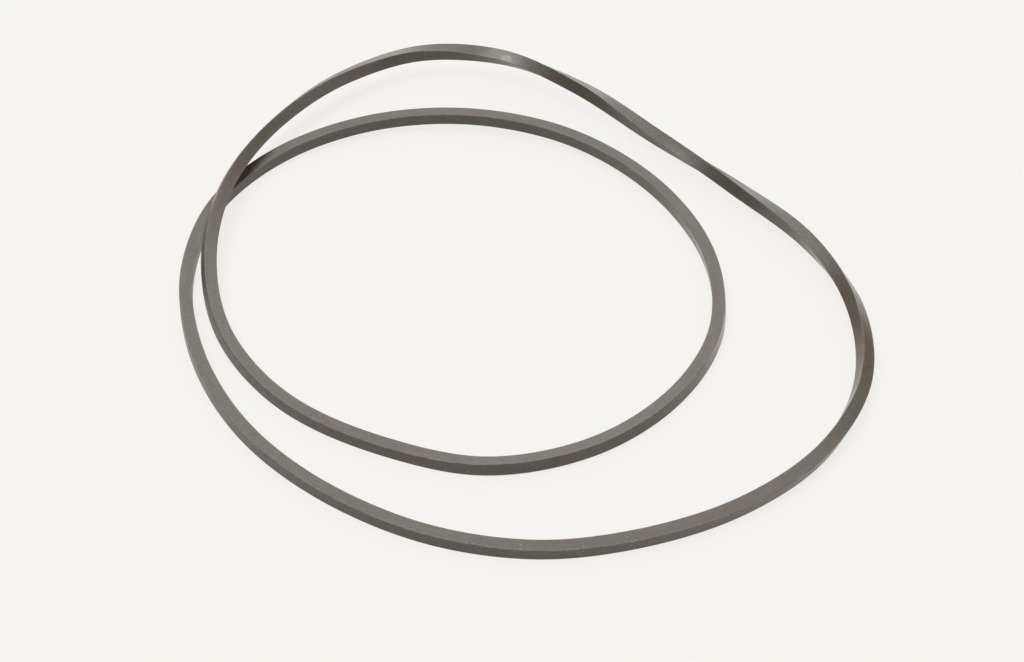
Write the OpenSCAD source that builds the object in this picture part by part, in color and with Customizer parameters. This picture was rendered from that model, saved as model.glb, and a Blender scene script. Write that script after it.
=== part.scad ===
// Square-section rubber seal ring, lying as it came to rest after being dropped in a double loop.
// One closed strand goes round twice, crosses itself once and rolls over once on the way.
// Millimetres, +Z up, +Y away from the viewer; the origin is under the middle of the lying ring.

/* [Section] */
// Width and height of the square section
section_w = 4; // [3:0.5:6]
// Width cut off each of the section's four long edges
edge_cut = 0.15; // [0.05:0.05:0.5]

/* [Ring] */
// Mean diameter of the ring as it is moulded, before it is laid in two loops
moulded_d = 370; // [300:5:450]

/* [Lay] */
// Clear gap between the strand that crosses over and the strand under it
cross_gap = 0.2; // [0.1:0.05:0.6]
// Roll of the strand that crosses over, in degrees
over_roll = 329; // [323:1:335]

/* [Detail] */
// Straight steps that one round of the strand is built from
strand_steps = 240; // [180:20:320]

/* [Hidden] */

half_w = section_w / 2;
under_roll = 357;

// Half the height of the square section when it is rolled by an angle
function half_height(roll) = half_w * (abs(cos(roll)) + abs(sin(roll)));

// Lift of the upper strand at the crossing, in section widths above lying flat
over_lift = (2 * half_height(under_roll) + half_height(over_roll) + cross_gap - half_w) / section_w;

// What the strand passes through, counter-clockwise from the front of the large loop:
// x and y in mm, lift in section widths above lying flat, roll in degrees about the strand
LAY = [
    [5, -111, 0.05, 6],
    [34.5, -106.5, 0.1, 8],
    [62.5, -94.5, 0.15, 11],
    [86.5, -74, 0.3, 14],
    [100.5, -47, 0.5, 28],
    [101.5, -14, 0.8, 44],
    [90, 16, 0.85, 81],
    [68.5, 42, 1, 120],
    [44.5, 66.5, 1.3, 163],
    [19, 91, 1.8, 208],
    [-6, 107, 1.9, 238],
    [-33.5, 111, 1.6, 275],
    [-59, 98, 1.5, 298],
    [-79, 75, 1.45, 319],
    [-93.5, 43.5, over_lift, over_roll],
    [-97, 8.5, 0.85, 338],
    [-89.5, -24.5, 0.25, 349],
    [-69, -53, 0, 357],
    [-39.5, -71, 0, 360],
    [-10, -79, 0, 353],
    [20, -71.5, 0, 353],
    [43.5, -52.5, 0, 352],
    [58.5, -24.5, 0, 353],
    [59, 11.5, 0.05, 354],
    [43, 46, 0.3, 362],
    [13.5, 71.5, 0.6, 358],
    [-21.5, 81, 0.65, 359],
    [-51.5, 77.5, 0.45, 357],
    [-76.5, 64.5, 0.2, 360],
    [-95.5, 42, 0, under_roll],
    [-103.5, 7, 0, 359],
    [-98, -29.5, 0, 357],
    [-78.5, -67, 0, 358],
    [-52, -91.5, 0, 360],
    [-23.5, -106, 0, 360],
];
FULL_TURN = [0, 0, 0, 360];

// Station i of the lay, counted on past the last one with the roll of each full round added
function station(i) = LAY[(i + len(LAY)) % len(LAY)] + floor(i / len(LAY)) * FULL_TURN;
function plan(p) = [p.x, p.y];
function span(i) = norm(plan(station(i + 1)) - plan(station(i)));
function grade(i) = (station(i + 1) - station(i)) / span(i);
function slope(i) = (grade(i - 1) * span(i) + grade(i) * span(i - 1)) / (span(i - 1) + span(i));

// Smooth curve from station i to the next, at a fraction t of the way
function between(i, t) =
    (1 + 2 * t) * pow(1 - t, 2) * station(i)
    + t * pow(1 - t, 2) * span(i) * slope(i)
    + t * t * (3 - 2 * t) * station(i + 1)
    - t * t * (1 - t) * span(i) * slope(i + 1);

function running_sum(v, i = 0, sum = 0) =
    i == len(v) ? [sum] : concat([sum], running_sum(v, i + 1, sum + v[i]));
starts = running_sum([for (i = [0:len(LAY) - 1]) span(i)]);

// Point of the lay at a distance along the chords of its stations
function lay_at(d) =
    let (i = len([for (s = starts) if (s <= d) s]) - 1)
    between(i, (d - starts[i]) / span(i));

laid = [for (k = [0:strand_steps - 1]) lay_at(starts[len(LAY)] * k / strand_steps)];

// The lay is scaled in plan until its length is that of the moulded ring
function after(k) = (k + 1) % strand_steps;
function before(k) = (k + strand_steps - 1) % strand_steps;
steps = [for (k = [0:strand_steps - 1]) norm(plan(laid[after(k)]) - plan(laid[k]))];
laid_length = running_sum(steps)[strand_steps];
plan_scale = PI * moulded_d / laid_length;

// Centre of the strand: its lift above lying flat, held up so that no edge goes below the floor
function centre(p) = [
    p.x * plan_scale,
    p.y * plan_scale,
    max(half_w + p[2] * section_w, half_height(p[3]))
];
centres = [for (p = laid) centre(p)];

// Corner points of the square section with its edges cut, counter-clockwise
flat_half = half_w - edge_cut;
section = [
    [half_w, -flat_half], [half_w, flat_half], [flat_half, half_w], [-flat_half, half_w],
    [-half_w, flat_half], [-half_w, -flat_half], [-flat_half, -half_w], [flat_half, -half_w]
];

function unit(v) = v / norm(v);

// The section set across the strand at step k and rolled about it
function ring_at(k) =
    let (
        ahead = unit(centres[after(k)] - centres[before(k)]),
        left = unit(cross([0, 0, 1], ahead)),
        up = cross(ahead, left),
        roll = laid[k][3],
        across = left * cos(roll) + up * sin(roll),
        top = up * cos(roll) - left * sin(roll)
    )
    [for (q = section) centres[k] + across * q.x + top * q.y];

skin = [for (k = [0:strand_steps - 1]) each ring_at(k)];

// Two triangles for each flat of the section on each step
sides = len(section);
function corner(k, j) = (k % strand_steps) * sides + j % sides;
faces = [
    for (k = [0:strand_steps - 1], j = [0:sides - 1])
        each [
            [corner(k, j), corner(k + 1, j), corner(k, j + 1)],
            [corner(k, j + 1), corner(k + 1, j), corner(k + 1, j + 1)]
        ]
];

function middle(v) = (min(v) + max(v)) / 2;
under_middle = [middle([for (p = skin) p.x]), middle([for (p = skin) p.y]), min([for (p = skin) p.z])];

module seal_ring() {
    color([0.36, 0.34, 0.32])
        translate(-under_middle)
            polyhedron(points = skin, faces = faces);
}

seal_ring();
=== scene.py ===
"""The look of a square-section rubber seal ring that lies in a double loop on a pale table.

The ring is one closed strand. Its lay repeats the one that its solid is built from: points that the
centre of the strand passes through, with its lift and its roll. Metres, +Z up, +Y away from the viewer.
"""
import math

import bpy
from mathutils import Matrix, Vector

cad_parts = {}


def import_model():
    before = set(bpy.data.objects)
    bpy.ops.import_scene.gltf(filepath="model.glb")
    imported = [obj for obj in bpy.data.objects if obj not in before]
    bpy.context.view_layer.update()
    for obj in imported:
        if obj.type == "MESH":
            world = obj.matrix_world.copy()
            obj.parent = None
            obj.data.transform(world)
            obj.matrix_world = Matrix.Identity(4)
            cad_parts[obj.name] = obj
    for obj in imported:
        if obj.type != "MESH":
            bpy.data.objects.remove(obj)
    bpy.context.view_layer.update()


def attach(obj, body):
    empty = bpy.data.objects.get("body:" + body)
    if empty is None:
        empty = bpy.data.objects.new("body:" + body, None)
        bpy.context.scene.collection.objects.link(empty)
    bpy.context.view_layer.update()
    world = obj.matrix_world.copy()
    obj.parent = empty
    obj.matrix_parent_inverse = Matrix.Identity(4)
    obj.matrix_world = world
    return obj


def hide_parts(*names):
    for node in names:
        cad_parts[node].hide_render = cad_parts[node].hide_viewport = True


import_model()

MM = 0.001

# The ring
SECTION = 4 * MM
ARRIS_RADIUS = 0.15 * MM
MOULDED_DIAMETER = 370 * MM
MOULDED_RADIUS = MOULDED_DIAMETER / 2

# Its lay: x and y in mm, lift in section widths above lying flat, roll in degrees about the strand
CROSS_GAP = 0.2 * MM
OVER_ROLL = 329
UNDER_ROLL = 357


def half_height(roll):
    """Half the height of the square section when it is rolled by an angle in degrees."""
    turn = math.radians(roll)
    return SECTION / 2 * (abs(math.cos(turn)) + abs(math.sin(turn)))


OVER_LIFT = (2 * half_height(UNDER_ROLL) + half_height(OVER_ROLL) + CROSS_GAP - SECTION / 2) / SECTION
LAY = [
    (5, -111, 0.05, 6),
    (34.5, -106.5, 0.1, 8),
    (62.5, -94.5, 0.15, 11),
    (86.5, -74, 0.3, 14),
    (100.5, -47, 0.5, 28),
    (101.5, -14, 0.8, 44),
    (90, 16, 0.85, 81),
    (68.5, 42, 1, 120),
    (44.5, 66.5, 1.3, 163),
    (19, 91, 1.8, 208),
    (-6, 107, 1.9, 238),
    (-33.5, 111, 1.6, 275),
    (-59, 98, 1.5, 298),
    (-79, 75, 1.45, 319),
    (-93.5, 43.5, OVER_LIFT, OVER_ROLL),
    (-97, 8.5, 0.85, 338),
    (-89.5, -24.5, 0.25, 349),
    (-69, -53, 0, 357),
    (-39.5, -71, 0, 360),
    (-10, -79, 0, 353),
    (20, -71.5, 0, 353),
    (43.5, -52.5, 0, 352),
    (58.5, -24.5, 0, 353),
    (59, 11.5, 0.05, 354),
    (43, 46, 0.3, 362),
    (13.5, 71.5, 0.6, 358),
    (-21.5, 81, 0.65, 359),
    (-51.5, 77.5, 0.45, 357),
    (-76.5, 64.5, 0.2, 360),
    (-95.5, 42, 0, UNDER_ROLL),
    (-103.5, 7, 0, 359),
    (-98, -29.5, 0, 357),
    (-78.5, -67, 0, 358),
    (-52, -91.5, 0, 360),
    (-23.5, -106, 0, 360),
]
FULL_TURN = Vector((0, 0, 0, 360))
STRAND_STEPS = 600

# Points round the square section: the steps in one arris and all those of one arris and its flat
ARRIS_STEPS = 4
SIDE_STEPS = 10

# The flats are uneven by this much, with this many waves in a metre
WAVINESS = 0.04 * MM
WAVES_PER_M = 90.0

# The camera stands where the photograph was taken from; it aims at a place in the lay, in mm
LENS_MM = 85
SENSOR_MM = 36
CAMERA_DISTANCE = 736.5 * MM
CAMERA_ELEVATION = 42.7
CAMERA_CLIP = (0.01, 100)
AIM = (-2.74, -19.78)


class Wire:
    """A node's output socket that sums and products can be written with; each adds its Math node."""

    def __init__(self, graph, socket):
        self.graph = graph
        self.socket = socket

    def math(self, operation, *others):
        return self.graph.math(operation, self, *others)

    def beside(self, output):
        """Another output of the same node."""
        return Wire(self.graph, self.socket.node.outputs[output])

    def __add__(self, other):
        return self.math("ADD", other)

    def __sub__(self, other):
        return self.math("SUBTRACT", other)

    def __rsub__(self, other):
        return self.graph.math("SUBTRACT", other, self)

    def __mul__(self, other):
        return self.math("MULTIPLY", other)

    def __truediv__(self, other):
        return self.math("DIVIDE", other)

    def __rtruediv__(self, other):
        return self.graph.math("DIVIDE", other, self)

    __radd__ = __add__
    __rmul__ = __mul__


class Graph:
    """A node tree with one way to add a node: its type, its settings, then its sockets' values or links."""

    def __init__(self, tree):
        self.tree = tree

    def add(self, kind, settings=None, sockets=None, output=0):
        node = self.tree.nodes.new(kind)
        for name, value in (settings or {}).items():
            setattr(node, name, value)
        for name, value in (sockets or {}).items():
            if isinstance(value, Wire):
                self.link(value, node.inputs[name])
            else:
                node.inputs[name].default_value = value
        return Wire(self, node.outputs[output])

    def link(self, wire, socket):
        self.tree.links.new(wire.socket, socket)

    def math(self, operation, *operands):
        return self.add("ShaderNodeMath", {"operation": operation}, dict(enumerate(operands)))

    def vector(self, x, y, z):
        return self.add("ShaderNodeCombineXYZ", sockets={0: x, 1: y, 2: z})

    def part(self, vector, axis):
        return self.add("ShaderNodeSeparateXYZ", sockets={0: vector}, output=axis)

    def distance(self, first, second):
        operands = {0: first, 1: second}
        return self.add("ShaderNodeVectorMath", {"operation": "DISTANCE"}, operands, output="Value")

    def reach_along(self, vector, direction):
        """How far a vector reaches along a direction."""
        operands = {0: vector, 1: direction}
        return self.add("ShaderNodeVectorMath", {"operation": "DOT_PRODUCT"}, operands, output="Value")

    def scaled(self, vector, factor):
        return self.add("ShaderNodeVectorMath", {"operation": "SCALE"}, {0: vector, "Scale": factor})

    def smooth_ramp(self, value, start, end, top=1.0):
        """Goes smoothly from 0 to the top while the value goes from start to end."""
        return self.add(
            "ShaderNodeMapRange", {"interpolation_type": "SMOOTHSTEP"},
            {"Value": value, "From Min": start, "From Max": end, "To Min": 0.0, "To Max": top},
        )

    def noise(self, place, scale, detail=2.0):
        return self.add("ShaderNodeTexNoise", sockets={"Vector": place, "Scale": scale, "Detail": detail})

    def mix(self, share, first, second):
        """Blends two colours; a Mix node keeps them at inputs 6 and 7 and output 2."""
        return self.add("ShaderNodeMix", {"data_type": "RGBA"}, {0: share, 6: first, 7: second}, output=2)


# The lay of the strand


def station(i):
    """Station i of the lay, counted on past the last one with the roll of each full round added."""
    rounds, place = divmod(i, len(LAY))
    return Vector(LAY[place]) + rounds * FULL_TURN


def span(i):
    """Length in plan from station i to the next."""
    return (station(i + 1).xy - station(i).xy).length


def grade(i):
    """What changes from station i to the next, for each mm in plan."""
    return (station(i + 1) - station(i)) / span(i)


def slope(i):
    """What changes at station i, for each mm in plan."""
    return (grade(i - 1) * span(i) + grade(i) * span(i - 1)) / (span(i - 1) + span(i))


def between(i, t):
    """Smooth curve from station i to the next, at a fraction t of the way."""
    return (
        (1 + 2 * t) * (1 - t) ** 2 * station(i)
        + t * (1 - t) ** 2 * span(i) * slope(i)
        + t * t * (3 - 2 * t) * station(i + 1)
        - t * t * (1 - t) * span(i) * slope(i + 1)
    )


def sampled_lay():
    """Points of the lay at even distances along the chords of its stations."""
    spans = [span(i) for i in range(len(LAY))]
    step = sum(spans) / STRAND_STEPS
    points = []
    place, start = 0, 0.0
    for k in range(STRAND_STEPS):
        while k * step - start >= spans[place]:
            start += spans[place]
            place += 1
        points.append(between(place, (k * step - start) / spans[place]))
    return points


def section_middle(centres, rolls):
    """Point of the table under the middle of what the corners of the square section reach."""
    xs, ys = [], []
    for k, centre in enumerate(centres):
        ahead = (centres[(k + 1) % len(centres)] - centres[k - 1]).normalized()
        left = Vector((0, 0, 1)).cross(ahead).normalized()
        up = ahead.cross(left)
        across = (left * math.cos(rolls[k]) + up * math.sin(rolls[k])) * SECTION / 2
        top = (up * math.cos(rolls[k]) - left * math.sin(rolls[k])) * SECTION / 2
        for corner in (across + top, across - top, top - across, -across - top):
            xs.append(centre.x + corner.x)
            ys.append(centre.y + corner.y)
    return Vector(((min(xs) + max(xs)) / 2, (min(ys) + max(ys)) / 2, 0))


def strand_centre():
    """Centres of the strand at the moulded ring's length, and its rolls in radians.

    Also the metres in plan for each mm of the lay, and the point of the lay that is moved to the origin.
    """
    laid = sampled_lay()
    length = sum((laid[k].xy - laid[k - 1].xy).length for k in range(STRAND_STEPS))
    scale = math.pi * MOULDED_DIAMETER / length
    centres = []
    for point in laid:
        height = max(SECTION / 2 + point.z * SECTION, half_height(point.w))
        centres.append(Vector((point.x * scale, point.y * scale, height)))
    rolls = [math.radians(point.w) for point in laid]
    middle = section_middle(centres, rolls)
    return [centre - middle for centre in centres], rolls, scale, middle


CENTRES, ROLLS, PLAN_SCALE, MIDDLE = strand_centre()


def spoke_at(share):
    """Direction from the moulded ring's middle to a share of its length."""
    angle = 2 * math.pi * share
    return (math.cos(angle), math.sin(angle), 0)


def centre_mesh():
    """A closed chain of points along the centre of the strand, each with its roll and its moulded spoke."""
    mesh = bpy.data.meshes.new("strand_centre")
    mesh.from_pydata(CENTRES, [(k, (k + 1) % STRAND_STEPS) for k in range(STRAND_STEPS)], [])
    lengths = [(CENTRES[(k + 1) % STRAND_STEPS] - CENTRES[k]).length for k in range(STRAND_STEPS)]
    roll = mesh.attributes.new("roll", "FLOAT", "POINT")
    spoke = mesh.attributes.new("spoke", "FLOAT_VECTOR", "POINT")
    gone = 0.0
    for k in range(STRAND_STEPS):
        roll.data[k].value = ROLLS[k]
        spoke.data[k].vector = spoke_at(gone / sum(lengths))
        gone += lengths[k]
    return mesh


def section_outline(graph, width, radius):
    """A closed curve round the square section: small arcs at the arrises, points gathered beside them."""
    points = {"Resolution": 4 * SIDE_STEPS}
    circle = graph.add("GeometryNodeCurvePrimitiveCircle", {"mode": "RADIUS"}, points)
    index = graph.add("GeometryNodeInputIndex")
    side = (index / SIDE_STEPS).math("FLOOR")
    place = index - side * SIDE_STEPS
    turn = place.math("MINIMUM", float(ARRIS_STEPS)) * (math.pi / 2 / ARRIS_STEPS)
    on_flat = ((place - ARRIS_STEPS) / (SIDE_STEPS - ARRIS_STEPS)).math("MAXIMUM", 0.0)
    eased = on_flat * on_flat * (3 - 2 * on_flat)
    arc_centre = width / 2 - radius
    x = arc_centre * (eased * math.pi).math("COSINE") + radius * turn.math("COSINE")
    y = arc_centre + radius * turn.math("SINE")
    quarter = side * (math.pi / 2)
    cosine, sine = quarter.math("COSINE"), quarter.math("SINE")
    place_xyz = graph.vector(x * cosine - y * sine, x * sine + y * cosine, 0.0)
    outline = graph.add("GeometryNodeSetPosition", sockets={"Geometry": circle, "Position": place_xyz})
    return stored(graph, outline, "section", graph.add("GeometryNodeInputPosition"))


def named(graph, name, kind="FLOAT_VECTOR"):
    """Reads an attribute of the geometry by its name."""
    return graph.add("GeometryNodeInputNamedAttribute", {"data_type": kind}, {"Name": name})


def stored(graph, geometry, name, value):
    """Keeps a vector at each point of the geometry under a name."""
    return graph.add(
        "GeometryNodeStoreNamedAttribute", {"data_type": "FLOAT_VECTOR", "domain": "POINT"},
        {"Geometry": geometry, "Name": name, "Value": value},
    )


def strand_tree():
    """Sweeps the rolled section along the centre and stores where each point is on the moulded ring."""
    tree = bpy.data.node_groups.new("Strand along its lay", "GeometryNodeTree")
    tree.is_modifier = True
    sockets = {}
    for name, kind in (
        ("Geometry", "NodeSocketGeometry"),
        ("Section Width", "NodeSocketFloat"),
        ("Arris Radius", "NodeSocketFloat"),
        ("Moulded Radius", "NodeSocketFloat"),
        ("Waviness", "NodeSocketFloat"),
        ("Rubber", "NodeSocketMaterial"),
    ):
        sockets[name] = tree.interface.new_socket(name, in_out="INPUT", socket_type=kind)
    tree.interface.new_socket("Geometry", in_out="OUTPUT", socket_type="NodeSocketGeometry")
    graph = Graph(tree)
    entry = tree.nodes.new("NodeGroupInput")
    given = {name: Wire(graph, entry.outputs[name]) for name in sockets}

    centre = graph.add("GeometryNodeMeshToCurve", sockets={"Mesh": given["Geometry"]})
    centre = graph.add("GeometryNodeSetCurveNormal", {"mode": "Z_UP"}, {"Curve": centre})
    roll = named(graph, "roll", "FLOAT")
    centre = graph.add("GeometryNodeSetCurveTilt", sockets={"Curve": centre, "Tilt": roll})
    outline = section_outline(graph, given["Section Width"], given["Arris Radius"])
    strand = graph.add("GeometryNodeCurveToMesh", sockets={"Curve": centre, "Profile Curve": outline})

    section = named(graph, "section")
    outward = graph.scaled(named(graph, "spoke"), given["Moulded Radius"] + graph.part(section, 0))
    down = graph.vector(0.0, 0.0, graph.part(section, 1))
    moulded = graph.add("ShaderNodeVectorMath", {"operation": "SUBTRACT"}, {0: outward, 1: down})
    strand = stored(graph, strand, "moulded", moulded)

    unevenness = graph.noise(named(graph, "moulded"), WAVES_PER_M) - 0.5
    push = graph.scaled(graph.add("GeometryNodeInputNormal"), unevenness * given["Waviness"])
    strand = graph.add("GeometryNodeSetPosition", sockets={"Geometry": strand, "Offset": push})
    strand = graph.add("GeometryNodeSetShadeSmooth", sockets={"Geometry": strand, "Shade Smooth": True})
    strand = graph.add("GeometryNodeRealizeInstances", sockets={"Geometry": strand})
    rubber = given["Rubber"]
    strand = graph.add("GeometryNodeSetMaterial", sockets={"Geometry": strand, "Material": rubber})
    graph.link(strand, tree.nodes.new("NodeGroupOutput").inputs[0])
    return tree, {name: socket.identifier for name, socket in sockets.items()}


# The rubber

BROWN_RUBBER = (0.1125, 0.077, 0.061, 1)
GREY_RUBBER = (0.0975, 0.0885, 0.0645, 1)
PALE_BLOOM = (0.136, 0.112, 0.088, 1)
# Pale rubber for streaks and grain, and for the arrises, where it is partly wear and partly painted highlight
WORN_RUBBER_AND_HIGHLIGHT = (0.19, 0.175, 0.15, 1)
DUST = (0.42, 0.4, 0.35, 1)
CHALKY_MARK = (0.37, 0.35, 0.31, 1)
RUBBER_IOR = 1.5

# Each pattern has so many patches in a metre; it starts and is full where its noise passes two numbers, and
# at its full it covers a share of what is under it
DRIFT_PER_M, DRIFT_RANGE = 20.0, (0.35, 0.65)
DRIFT_SEED, DRIFT_DETAIL, DRIFT_ROUGHNESS = 79.0, 4.0, 0.6
MOTTLE_PER_M, BLOOM_RANGE, BLOOM_SHARE = 420.0, (0.3, 0.7), 0.35
STREAKS_PER_M, STREAK_RANGE, STREAK_SHARE = 1300.0, (0.45, 0.75), 0.22
GRAIN_PER_M, GRAIN_RANGE, GRAIN_SHARE = 1500.0, (0.3, 0.7), 0.2
# The paler arris line is partly wear and partly a painted highlight of the rounded arrises
WEAR_AND_HIGHLIGHT_PER_M, WEAR_AND_HIGHLIGHT_RANGE, WEAR_AND_HIGHLIGHT_SHARE = 170.0, (0.35, 0.6), 0.35
STREAK_STRETCH = 14
FINE_DETAIL = 3.0

# The paler arris line, partly wear and partly painted highlight, and faint specks thin out between these
# distances from an arris
WORN_AND_HIGHLIGHT_WITHIN = (0.7 * MM, 0.2 * MM)
SPECKLED_WITHIN = (0.8 * MM, 0.2 * MM)

# Specks: cells in a metre, reach as a share of a cell, share of the cells that hold one, and their cover.
# A speck is full out to a share of its reach, and an arris adds to the share of cells that hold a faint one
DUST_PER_M, DUST_SIZE, DUST_PLENTY, DUST_SHARE = 720.0, 0.17, 0.03, 0.85
FAINT_PER_M, FAINT_SIZE, FAINT_PLENTY, FAINT_SHARE = 1100.0, 0.3, 0.08, 0.3
SPECK_FULL = 0.6
ARRIS_PLENTY = 0.4

# Dust lies thickest round this share of the ring's length, most of all toward the outer side
DUSTY_AT = 0.012
DUSTY_REACH = 45 * MM
DUSTY_PLENTY = 0.5
INNER_SIDE_SHARE = 0.25
TOWARD_OUTER_SIDE = (0.8 * MM, 1.8 * MM)

# The half-round mark on the outer side: its place as a share of the ring's length, its half-length and depth,
# and where its round edge, its top and its side start and are full
MARK_AT = 0.27545
MARK_HALF_LENGTH = 2.3 * MM
MARK_DEPTH = 2.6 * MM
MARK_EDGE = (1.06, 0.9)
MARK_TOP = (0.06, 0.14)
MARK_SIDE = (1.7 * MM, 1.9 * MM)
MARK_SHARE = 0.85

# Roughness, and what patches, dust and the mark add to it
ROUGHNESS = 0.3
GLOSS_PER_M, GLOSS_DRIFT = 250.0, 0.12
DUST_ROUGHNESS = 0.4
MARK_ROUGHNESS = 0.15

# Height of the bump, and how much of it are fine pits and streaks beside the mottle
BUMP_STRENGTH = 0.3
BUMP_HEIGHT = 0.02 * MM
PITS_PER_M, PITS_HEIGHT = 2400.0, 0.35
STREAK_HEIGHT = 0.6


def rubber_material():
    """Satin dark rubber: brown and grey drift, faint streaks, paler arrises that are partly wear and partly
    painted highlight, dust, and a chalky mark.
    """
    material = bpy.data.materials.new("seal_rubber")
    material.use_nodes = True
    graph = Graph(material.node_tree)
    moulded = graph.add("ShaderNodeAttribute", {"attribute_name": "moulded"}, output="Vector")
    section = graph.add("ShaderNodeAttribute", {"attribute_name": "section"}, output="Vector")
    x, y = graph.part(section, 0), graph.part(section, 1)

    drift = graph.add(
        "ShaderNodeTexNoise", {"noise_dimensions": "4D"},
        {"Vector": moulded, "W": DRIFT_SEED, "Scale": DRIFT_PER_M, "Detail": DRIFT_DETAIL,
         "Roughness": DRIFT_ROUGHNESS},
    )
    colour = graph.mix(graph.smooth_ramp(drift, *DRIFT_RANGE), BROWN_RUBBER, GREY_RUBBER)
    mottle = graph.noise(moulded, MOTTLE_PER_M, FINE_DETAIL)
    colour = graph.mix(graph.smooth_ramp(mottle, *BLOOM_RANGE, BLOOM_SHARE), colour, PALE_BLOOM)

    # Streaks: a noise drawn out along the strand
    drawn_out = graph.vector(
        graph.part(moulded, 0) / STREAK_STRETCH, graph.part(moulded, 1) / STREAK_STRETCH, x
    )
    streaks = graph.add(
        "ShaderNodeTexNoise", {"noise_dimensions": "4D"},
        {"Vector": drawn_out, "W": y, "Scale": STREAKS_PER_M, "Detail": 2.0},
    )
    colour = graph.mix(graph.smooth_ramp(streaks, *STREAK_RANGE, STREAK_SHARE), colour, WORN_RUBBER_AND_HIGHLIGHT)
    grain = graph.noise(moulded, GRAIN_PER_M)
    colour = graph.mix(graph.smooth_ramp(grain, *GRAIN_RANGE, GRAIN_SHARE), colour, WORN_RUBBER_AND_HIGHLIGHT)

    from_arris = SECTION / 2 - x.math("ABSOLUTE").math("MINIMUM", y.math("ABSOLUTE"))
    # Paler line along the arrises: partly wear, partly a painted highlight of their rounding, broken by noise
    wear_and_highlight = graph.smooth_ramp(graph.noise(moulded, WEAR_AND_HIGHLIGHT_PER_M), *WEAR_AND_HIGHLIGHT_RANGE, WEAR_AND_HIGHLIGHT_SHARE)
    colour = graph.mix(graph.smooth_ramp(from_arris, *WORN_AND_HIGHLIGHT_WITHIN) * wear_and_highlight, colour, WORN_RUBBER_AND_HIGHLIGHT)

    faint_plenty = FAINT_PLENTY + graph.smooth_ramp(from_arris, *SPECKLED_WITHIN, ARRIS_PLENTY)
    faint = specks(graph, moulded, FAINT_PER_M, FAINT_SIZE, faint_plenty)
    colour = graph.mix(faint * FAINT_SHARE, colour, DUST)
    from_dusty = graph.distance(moulded, [MOULDED_RADIUS * c for c in spoke_at(DUSTY_AT)])
    near = graph.smooth_ramp(from_dusty, DUSTY_REACH, DUSTY_REACH / 2, DUSTY_PLENTY)
    outer = graph.smooth_ramp(x, *TOWARD_OUTER_SIDE, 1 - INNER_SIDE_SHARE) + INNER_SIDE_SHARE
    dust = specks(graph, moulded, DUST_PER_M, DUST_SIZE, DUST_PLENTY + near * outer)
    colour = graph.mix(dust * DUST_SHARE, colour, DUST)

    mark = chalky_mark(graph, moulded)
    colour = graph.mix(mark * MARK_SHARE, colour, CHALKY_MARK)

    gloss = (graph.noise(moulded, GLOSS_PER_M, FINE_DETAIL) - 0.5) * GLOSS_DRIFT
    roughness = ROUGHNESS + gloss + dust * DUST_ROUGHNESS + mark * MARK_ROUGHNESS
    pits = graph.noise(moulded, PITS_PER_M) * PITS_HEIGHT
    height = pits + mottle + streaks * STREAK_HEIGHT + dust
    bump = graph.add(
        "ShaderNodeBump", sockets={"Strength": BUMP_STRENGTH, "Distance": BUMP_HEIGHT, "Height": height}
    )
    shader = material.node_tree.nodes["Principled BSDF"]
    shader.inputs["IOR"].default_value = RUBBER_IOR
    graph.link(colour, shader.inputs["Base Color"])
    graph.link(roughness, shader.inputs["Roughness"])
    graph.link(bump, shader.inputs["Normal"])
    return material


def specks(graph, place, per_metre, size, plenty):
    """Small round specks at the middles of scattered cells, in so many of the cells as plenty says."""
    cells = graph.add(
        "ShaderNodeTexVoronoi", {"feature": "F1"}, {"Vector": place, "Scale": per_metre, "Randomness": 1.0}
    )
    lot = graph.part(cells.beside("Color"), 0)
    return graph.smooth_ramp(cells, size, size * SPECK_FULL) * lot.math("LESS_THAN", plenty)


def chalky_mark(graph, moulded):
    """Half an ellipse on the outer side, straight at the top arris and round below."""
    out = spoke_at(MARK_AT)
    along = graph.reach_along(moulded, (-out[1], out[0], 0)) / MARK_HALF_LENGTH
    down = (SECTION / 2 - graph.part(moulded, 2)) / MARK_DEPTH
    outward = graph.reach_along(moulded, out) - MOULDED_RADIUS
    inside = graph.smooth_ramp((along * along + down * down).math("SQRT"), *MARK_EDGE)
    return inside * graph.smooth_ramp(outward, *MARK_SIDE) * graph.smooth_ramp(down, *MARK_TOP)


def seal_ring():
    """The ring as a plain mesh, swept by the node tree."""
    tree, inputs = strand_tree()
    carrier = bpy.data.objects.new("strand_centre", centre_mesh())
    bpy.context.collection.objects.link(carrier)
    modifier = carrier.modifiers.new("strand", "NODES")
    modifier.node_group = tree
    modifier[inputs["Section Width"]] = SECTION
    modifier[inputs["Arris Radius"]] = ARRIS_RADIUS
    modifier[inputs["Moulded Radius"]] = MOULDED_RADIUS
    modifier[inputs["Waviness"]] = WAVINESS
    modifier[inputs["Rubber"]] = rubber_material()
    evaluated = carrier.evaluated_get(bpy.context.evaluated_depsgraph_get())
    mesh = bpy.data.meshes.new_from_object(evaluated)
    mesh.name = "rubber_ring"
    ring = bpy.data.objects.new("rubber_ring", mesh)
    bpy.context.collection.objects.link(ring)
    bpy.data.objects.remove(carrier)
    return ring


# The room

TABLE_COLOUR = (0.922, 0.905, 0.871)
TABLE_MATT = (0.69, 0.68, 0.655)
TABLE_SIZE = 6.0

# Share of the table's look that is its lit matt colour, which takes the ring's shadow, and how brightly the
# room lights it where it is open, where 1 shows a matt colour as it is written
SHADOW_SHARE = 0.14
TABLE_LIGHT = (1.07, 1.105, 1.1)

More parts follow.
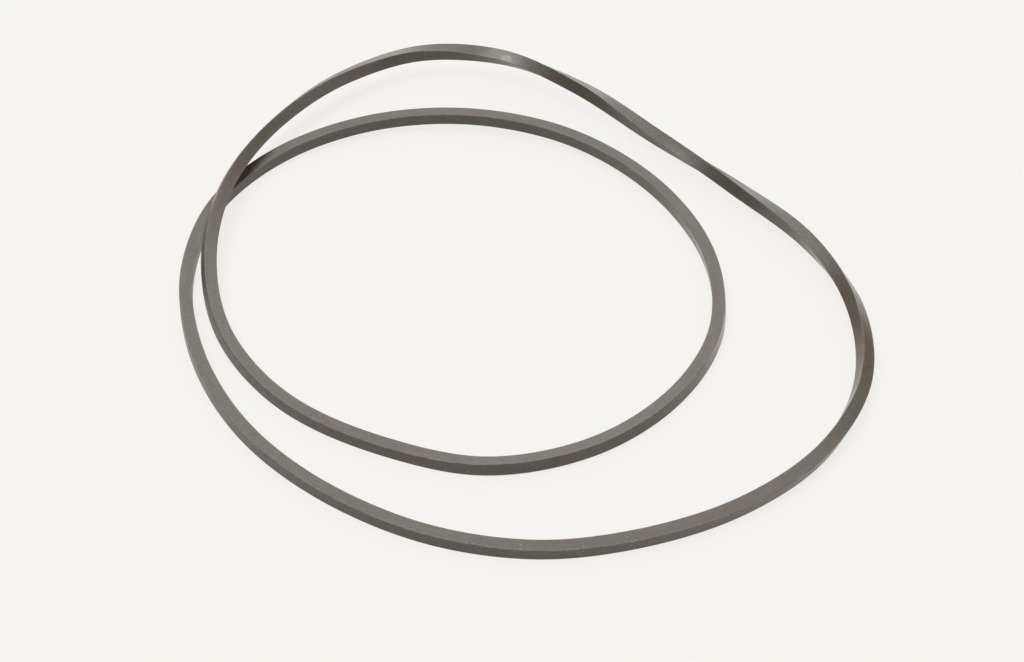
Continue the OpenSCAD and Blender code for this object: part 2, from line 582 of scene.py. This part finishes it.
# Soft patches of light: degrees clockwise from the back, degrees up, radius in degrees, and the brightness
# that each adds; a dark gap takes some away
SOFT_LIGHTS = [
    ("overhead", 352, 65.5, 44, 1.87),
    ("left lamp", 247, 69.5, 21.5, 5.7),
    ("left screen", 251, 54, 22.5, 1.65),
    ("right wall", 113, 5, 57.5, 1.0),
    ("back wall", 0, 0, 41, 2.25),
    ("back right window", 32, 33.5, 20, 1.0),
    ("dark gap beside the lamp", 301, 60, 15, -1.5),
    ("dark gap above the window", 55, 53, 16, -0.5),
]
LIGHT_COLOUR = (0.912, 0.943, 0.943)

# What the rubber mirrors of the table has painted light at the far right, brighter by the gain, and is duller
# elsewhere, with a painted shade most of all in a round place under the lifted strand at the back right
FAR_RIGHT_PAINTED_LIGHT = 0.48
FAR_RIGHT_ACROSS = (0, 50 * MM)
FAR_RIGHT_BACK = (-60 * MM, 10 * MM)
FAR_RIGHT_SLANT = 0.4
NEAR_LEFT_LOSS = 0.07
PAINTED_SHADE_LOSS = 0.7
PAINTED_SHADE_PLACE = (65 * MM, 66 * MM, 0)
PAINTED_SHADE_REACH = 38 * MM


def table_material():
    """A pale matt table with a faint soft shadow, seen at its own colour by the camera, and in the rubber
    with painted light and shade.
    """
    material = bpy.data.materials.new("pale_table")
    material.use_nodes = True
    nodes = material.node_tree.nodes
    nodes.remove(nodes["Principled BSDF"])
    graph = Graph(material.node_tree)
    plain_colour = [
        (seen - SHADOW_SHARE * matt * light) / (1 - SHADOW_SHARE)
        for seen, matt, light in zip(TABLE_COLOUR, TABLE_MATT, TABLE_LIGHT)
    ]
    rays = graph.add("ShaderNodeLightPath", output="Is Camera Ray")
    glossy_ray = rays.beside("Is Glossy Ray")
    place = graph.add("ShaderNodeNewGeometry", output="Position")
    x, y = graph.part(place, 0), graph.part(place, 1)
    # Painted light: the table that the rubber mirrors is brighter toward the far right
    painted_light_far_right = graph.smooth_ramp(x, *FAR_RIGHT_ACROSS, FAR_RIGHT_PAINTED_LIGHT)
    painted_light_far_right = painted_light_far_right * graph.smooth_ramp(y + x * FAR_RIGHT_SLANT, *FAR_RIGHT_BACK)
    # Painted shade: what the rubber mirrors of the table is darker in a round place under the lifted strand
    painted_shade = graph.smooth_ramp(graph.distance(place, PAINTED_SHADE_PLACE), PAINTED_SHADE_REACH, PAINTED_SHADE_REACH / 2, PAINTED_SHADE_LOSS)
    mirrored = glossy_ray * (painted_light_far_right - painted_shade - NEAR_LEFT_LOSS) + 1.0
    matt = graph.add("ShaderNodeBsdfDiffuse", sockets={"Color": (*TABLE_MATT, 1)})
    plain = graph.add("ShaderNodeEmission", sockets={"Color": graph.scaled(plain_colour, mirrored)})
    seen = rays.math("MAXIMUM", glossy_ray) * (1 - SHADOW_SHARE)
    surface = graph.add("ShaderNodeMixShader", sockets={0: seen, 1: matt, 2: plain})
    graph.link(surface, nodes["Material Output"].inputs["Surface"])
    return material


def table():
    """The flat top that the ring lies on; it isn't part of the object."""
    half = TABLE_SIZE / 2
    corners = [(-half, -half, 0), (half, -half, 0), (half, half, 0), (-half, half, 0)]
    mesh = bpy.data.meshes.new("table")
    mesh.from_pydata(corners, [], [(0, 1, 2, 3)])
    mesh.materials.append(table_material())
    top = bpy.data.objects.new("table", mesh)
    bpy.context.collection.objects.link(top)


def soft_light(graph, outward, azimuth, elevation, radius, strength):
    """One soft patch of light in the room, brightest in its inner half."""
    turn, rise = math.radians(azimuth), math.radians(elevation)
    toward = (math.cos(rise) * math.sin(turn), math.cos(rise) * math.cos(turn), math.sin(rise))
    away = graph.reach_along(outward, toward).math("ARCCOSINE")
    return graph.smooth_ramp(away, math.radians(radius), math.radians(radius / 2), strength)


def world():
    """A room lit by soft patches; the camera sees it at the table's colour."""
    room = bpy.data.worlds.new("room")
    room.use_nodes = True
    bpy.context.scene.world = room
    graph = Graph(room.node_tree)
    outward = graph.add("ShaderNodeTexCoord", output="Generated")
    brightness = sum(soft_light(graph, outward, *light[1:]) for light in SOFT_LIGHTS)
    light = graph.add("ShaderNodeBackground", sockets={"Color": graph.scaled(LIGHT_COLOUR, brightness)})
    seen = graph.add("ShaderNodeBackground", sockets={"Color": (*TABLE_COLOUR, 1)})
    camera_ray = graph.add("ShaderNodeLightPath", output="Is Camera Ray")
    surface = graph.add("ShaderNodeMixShader", sockets={0: camera_ray, 1: light, 2: seen})
    output = room.node_tree.nodes.get("World Output") or room.node_tree.nodes.new("ShaderNodeOutputWorld")
    graph.link(surface, output.inputs["Surface"])


def camera():
    """The camera at the photograph's angle, aimed at its place in the lay."""
    data = bpy.data.cameras.new("camera")
    data.lens = LENS_MM
    data.sensor_width = SENSOR_MM
    data.clip_start, data.clip_end = CAMERA_CLIP
    eye = bpy.data.objects.new("camera", data)
    tilt = math.radians(CAMERA_ELEVATION)
    back = Vector((0, -math.cos(tilt), math.sin(tilt)))
    target = Vector((*AIM, 0)) * PLAN_SCALE - MIDDLE
    eye.location = target + back * CAMERA_DISTANCE
    eye.rotation_euler = (-back).to_track_quat("-Z", "Y").to_euler()
    bpy.context.collection.objects.link(eye)
    bpy.context.scene.camera = eye


bpy.context.scene.view_settings.view_transform = "Standard"
camera()
table()
world()

ring = seal_ring()
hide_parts("seal_ring")
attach(ring, "root")
